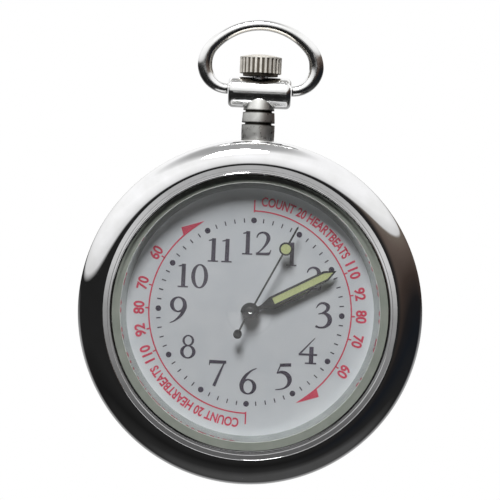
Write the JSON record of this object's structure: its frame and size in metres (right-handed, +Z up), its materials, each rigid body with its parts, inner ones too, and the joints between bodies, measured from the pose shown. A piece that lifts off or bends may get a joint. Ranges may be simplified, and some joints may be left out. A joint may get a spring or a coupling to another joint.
{
  "type": "fob watch",
  "caption": "Open-face polished fob watch: round case with domed glass, pendant, fluted crown and oval swinging bow, white dial with hour numerals, a pulse scale and three hands.",
  "frame": {"origin": "top of the bow's opening, where the chain, clip or pin carries the watch", "axes": "+Z up along the pendant to twelve o'clock, +X to three o'clock, the dial faces -Y and the back +Y"},
  "size_m": [0.04, 0.0103, 0.0543],
  "materials": {
    "chrome": "mirror polished, fine wear",
    "crystal": "clear mineral glass",
    "gasket": "pale nylon",
    "rehaut": "mirror polished",
    "dial": "smooth white enamel paint",
    "hand_black": "gloss black",
    "lume": "luminous paint",
    "crown": "bright nickel",
    "steel": "fine brushed",
    "brass": "satin",
    "plate": "moulded, slightly satin",
    "holder": "moulded white",
    "rubber": "matt",
    "board": "solder-masked board",
    "epoxy": "black encapsulant",
    "winding": "enamelled copper wire",
    "soft_iron": "annealed",
    "magnet": "sintered",
    "insulator": "thin film"
  },
  "bodies": {
    "bow": {"bow": "chrome"},
    "case": {"case_body": "chrome", "bezel": "chrome", "crystal": "crystal", "crystal_gasket": "gasket", "rehaut_ring": "rehaut", "dial": "dial", "back_cover": "chrome", "back_gasket": "rubber", "pendant_neck": "chrome", "pendant_barrel": "chrome", "crown_tube": "steel", "movement_holder": "holder", "dial_washer": "brass", "main_plate": "plate", "train_bridge": "steel", "bridge_screws": "steel", "circuit_board": "board", "board_screws": "steel", "ic_chip": "epoxy", "quartz_can": "steel", "battery": "steel", "battery_strap": "steel", "battery_insulator": "insulator", "coil": "winding", "coil_core": "soft_iron", "stator": "soft_iron"},
    "seconds": {"seconds_wheel": "brass", "seconds_hand": "hand_black", "seconds_hand_lume": "lume"},
    "minutes": {"center_wheel": "brass", "cannon_pinion": "brass", "minute_hand": "hand_black", "minute_hand_lume": "lume"},
    "hours": {"hour_wheel": "brass", "hour_hand": "hand_black", "hour_hand_lume": "lume"},
    "third": {"third_wheel": "brass"},
    "fifth": {"fifth_wheel": "brass"},
    "rotor": {"rotor_magnet": "magnet", "rotor_pinion": "plate"},
    "minute_wheel": {"minute_wheel": "brass"},
    "setting_wheel": {"setting_wheel": "brass"},
    "yoke": {"yoke": "steel"},
    "clutch": {"clutch_wheel": "steel"},
    "crown": {"crown": "crown", "stem": "steel", "crown_gasket": "rubber"},
    "setting_lever": {"setting_lever": "steel"}
  },
  "joints": [
    {"name": "bow_swing", "type": "hinge", "parent": "bow", "child": "case", "pos_m": [0, 0, -0.00677], "axis": [1, 0, 0], "range_deg": [-125, 125]},
    {"name": "seconds_turn", "type": "hinge", "parent": "case", "child": "seconds", "pos_m": [0, -0.00045, -0.03277], "axis": [0, 1, 0], "continuous": true},
    {"name": "minutes_turn", "type": "hinge", "parent": "case", "child": "minutes", "pos_m": [0, -0.00045, -0.03277], "axis": [0, 1, 0], "continuous": true},
    {"name": "hours_turn", "type": "hinge", "parent": "case", "child": "hours", "pos_m": [0, -0.00045, -0.03277], "axis": [0, 1, 0], "continuous": true},
    {"name": "third_turn", "type": "hinge", "parent": "case", "child": "third", "pos_m": [0.00136, -0.00045, -0.03513], "axis": [0, 1, 0], "continuous": true},
    {"name": "fifth_turn", "type": "hinge", "parent": "case", "child": "fifth", "pos_m": [-0.00263, -0.00045, -0.03373], "axis": [0, 1, 0], "continuous": true},
    {"name": "rotor_turn", "type": "hinge", "parent": "case", "child": "rotor", "pos_m": [-0.00328, -0.00045, -0.0355], "axis": [0, 1, 0], "continuous": true},
    {"name": "minute_wheel_turn", "type": "hinge", "parent": "case", "child": "minute_wheel", "pos_m": [0.0012, -0.00045, -0.03069], "axis": [0, 1, 0], "continuous": true},
    {"name": "setting_wheel_turn", "type": "hinge", "parent": "case", "child": "setting_wheel", "pos_m": [0, -0.00045, -0.02816], "axis": [0, 1, 0], "continuous": true},
    {"name": "yoke_slide", "type": "slide", "parent": "case", "child": "yoke", "axis": [0, 0, 1], "range_m": [-0.0003, 0]},
    {"name": "crown_turn", "type": "hinge", "parent": "yoke", "child": "clutch", "pos_m": [0, 0, -0.02677], "axis": [0, 0, 1], "continuous": true},
    {"name": "crown_pull", "type": "slide", "parent": "clutch", "child": "crown", "axis": [0, 0, 1], "range_m": [0, 0.00115]},
    {"name": "setting_lever_turn", "type": "hinge", "parent": "case", "child": "setting_lever", "pos_m": [-0.0023, 0.00115, -0.02322], "axis": [0, -1, 0], "range_deg": [0, 26.84]}
  ],
  "couplings": [
    {"joint": "minutes_turn", "follows": "seconds_turn", "ratio": 0.016667},
    {"joint": "hours_turn", "follows": "seconds_turn", "ratio": 0.0013889},
    {"joint": "third_turn", "follows": "seconds_turn", "ratio": -0.13333},
    {"joint": "fifth_turn", "follows": "seconds_turn", "ratio": -6},
    {"joint": "rotor_turn", "follows": "seconds_turn", "ratio": 30},
    {"joint": "minute_wheel_turn", "follows": "seconds_turn", "ratio": -0.0055556},
    {"joint": "setting_wheel_turn", "follows": "seconds_turn", "ratio": 0.01},
    {"joint": "yoke_slide", "follows": "crown_pull", "ratio": -0.25},
    {"joint": "setting_lever_turn", "follows": "crown_pull", "rad_per_m": 389.57}
  ]
}
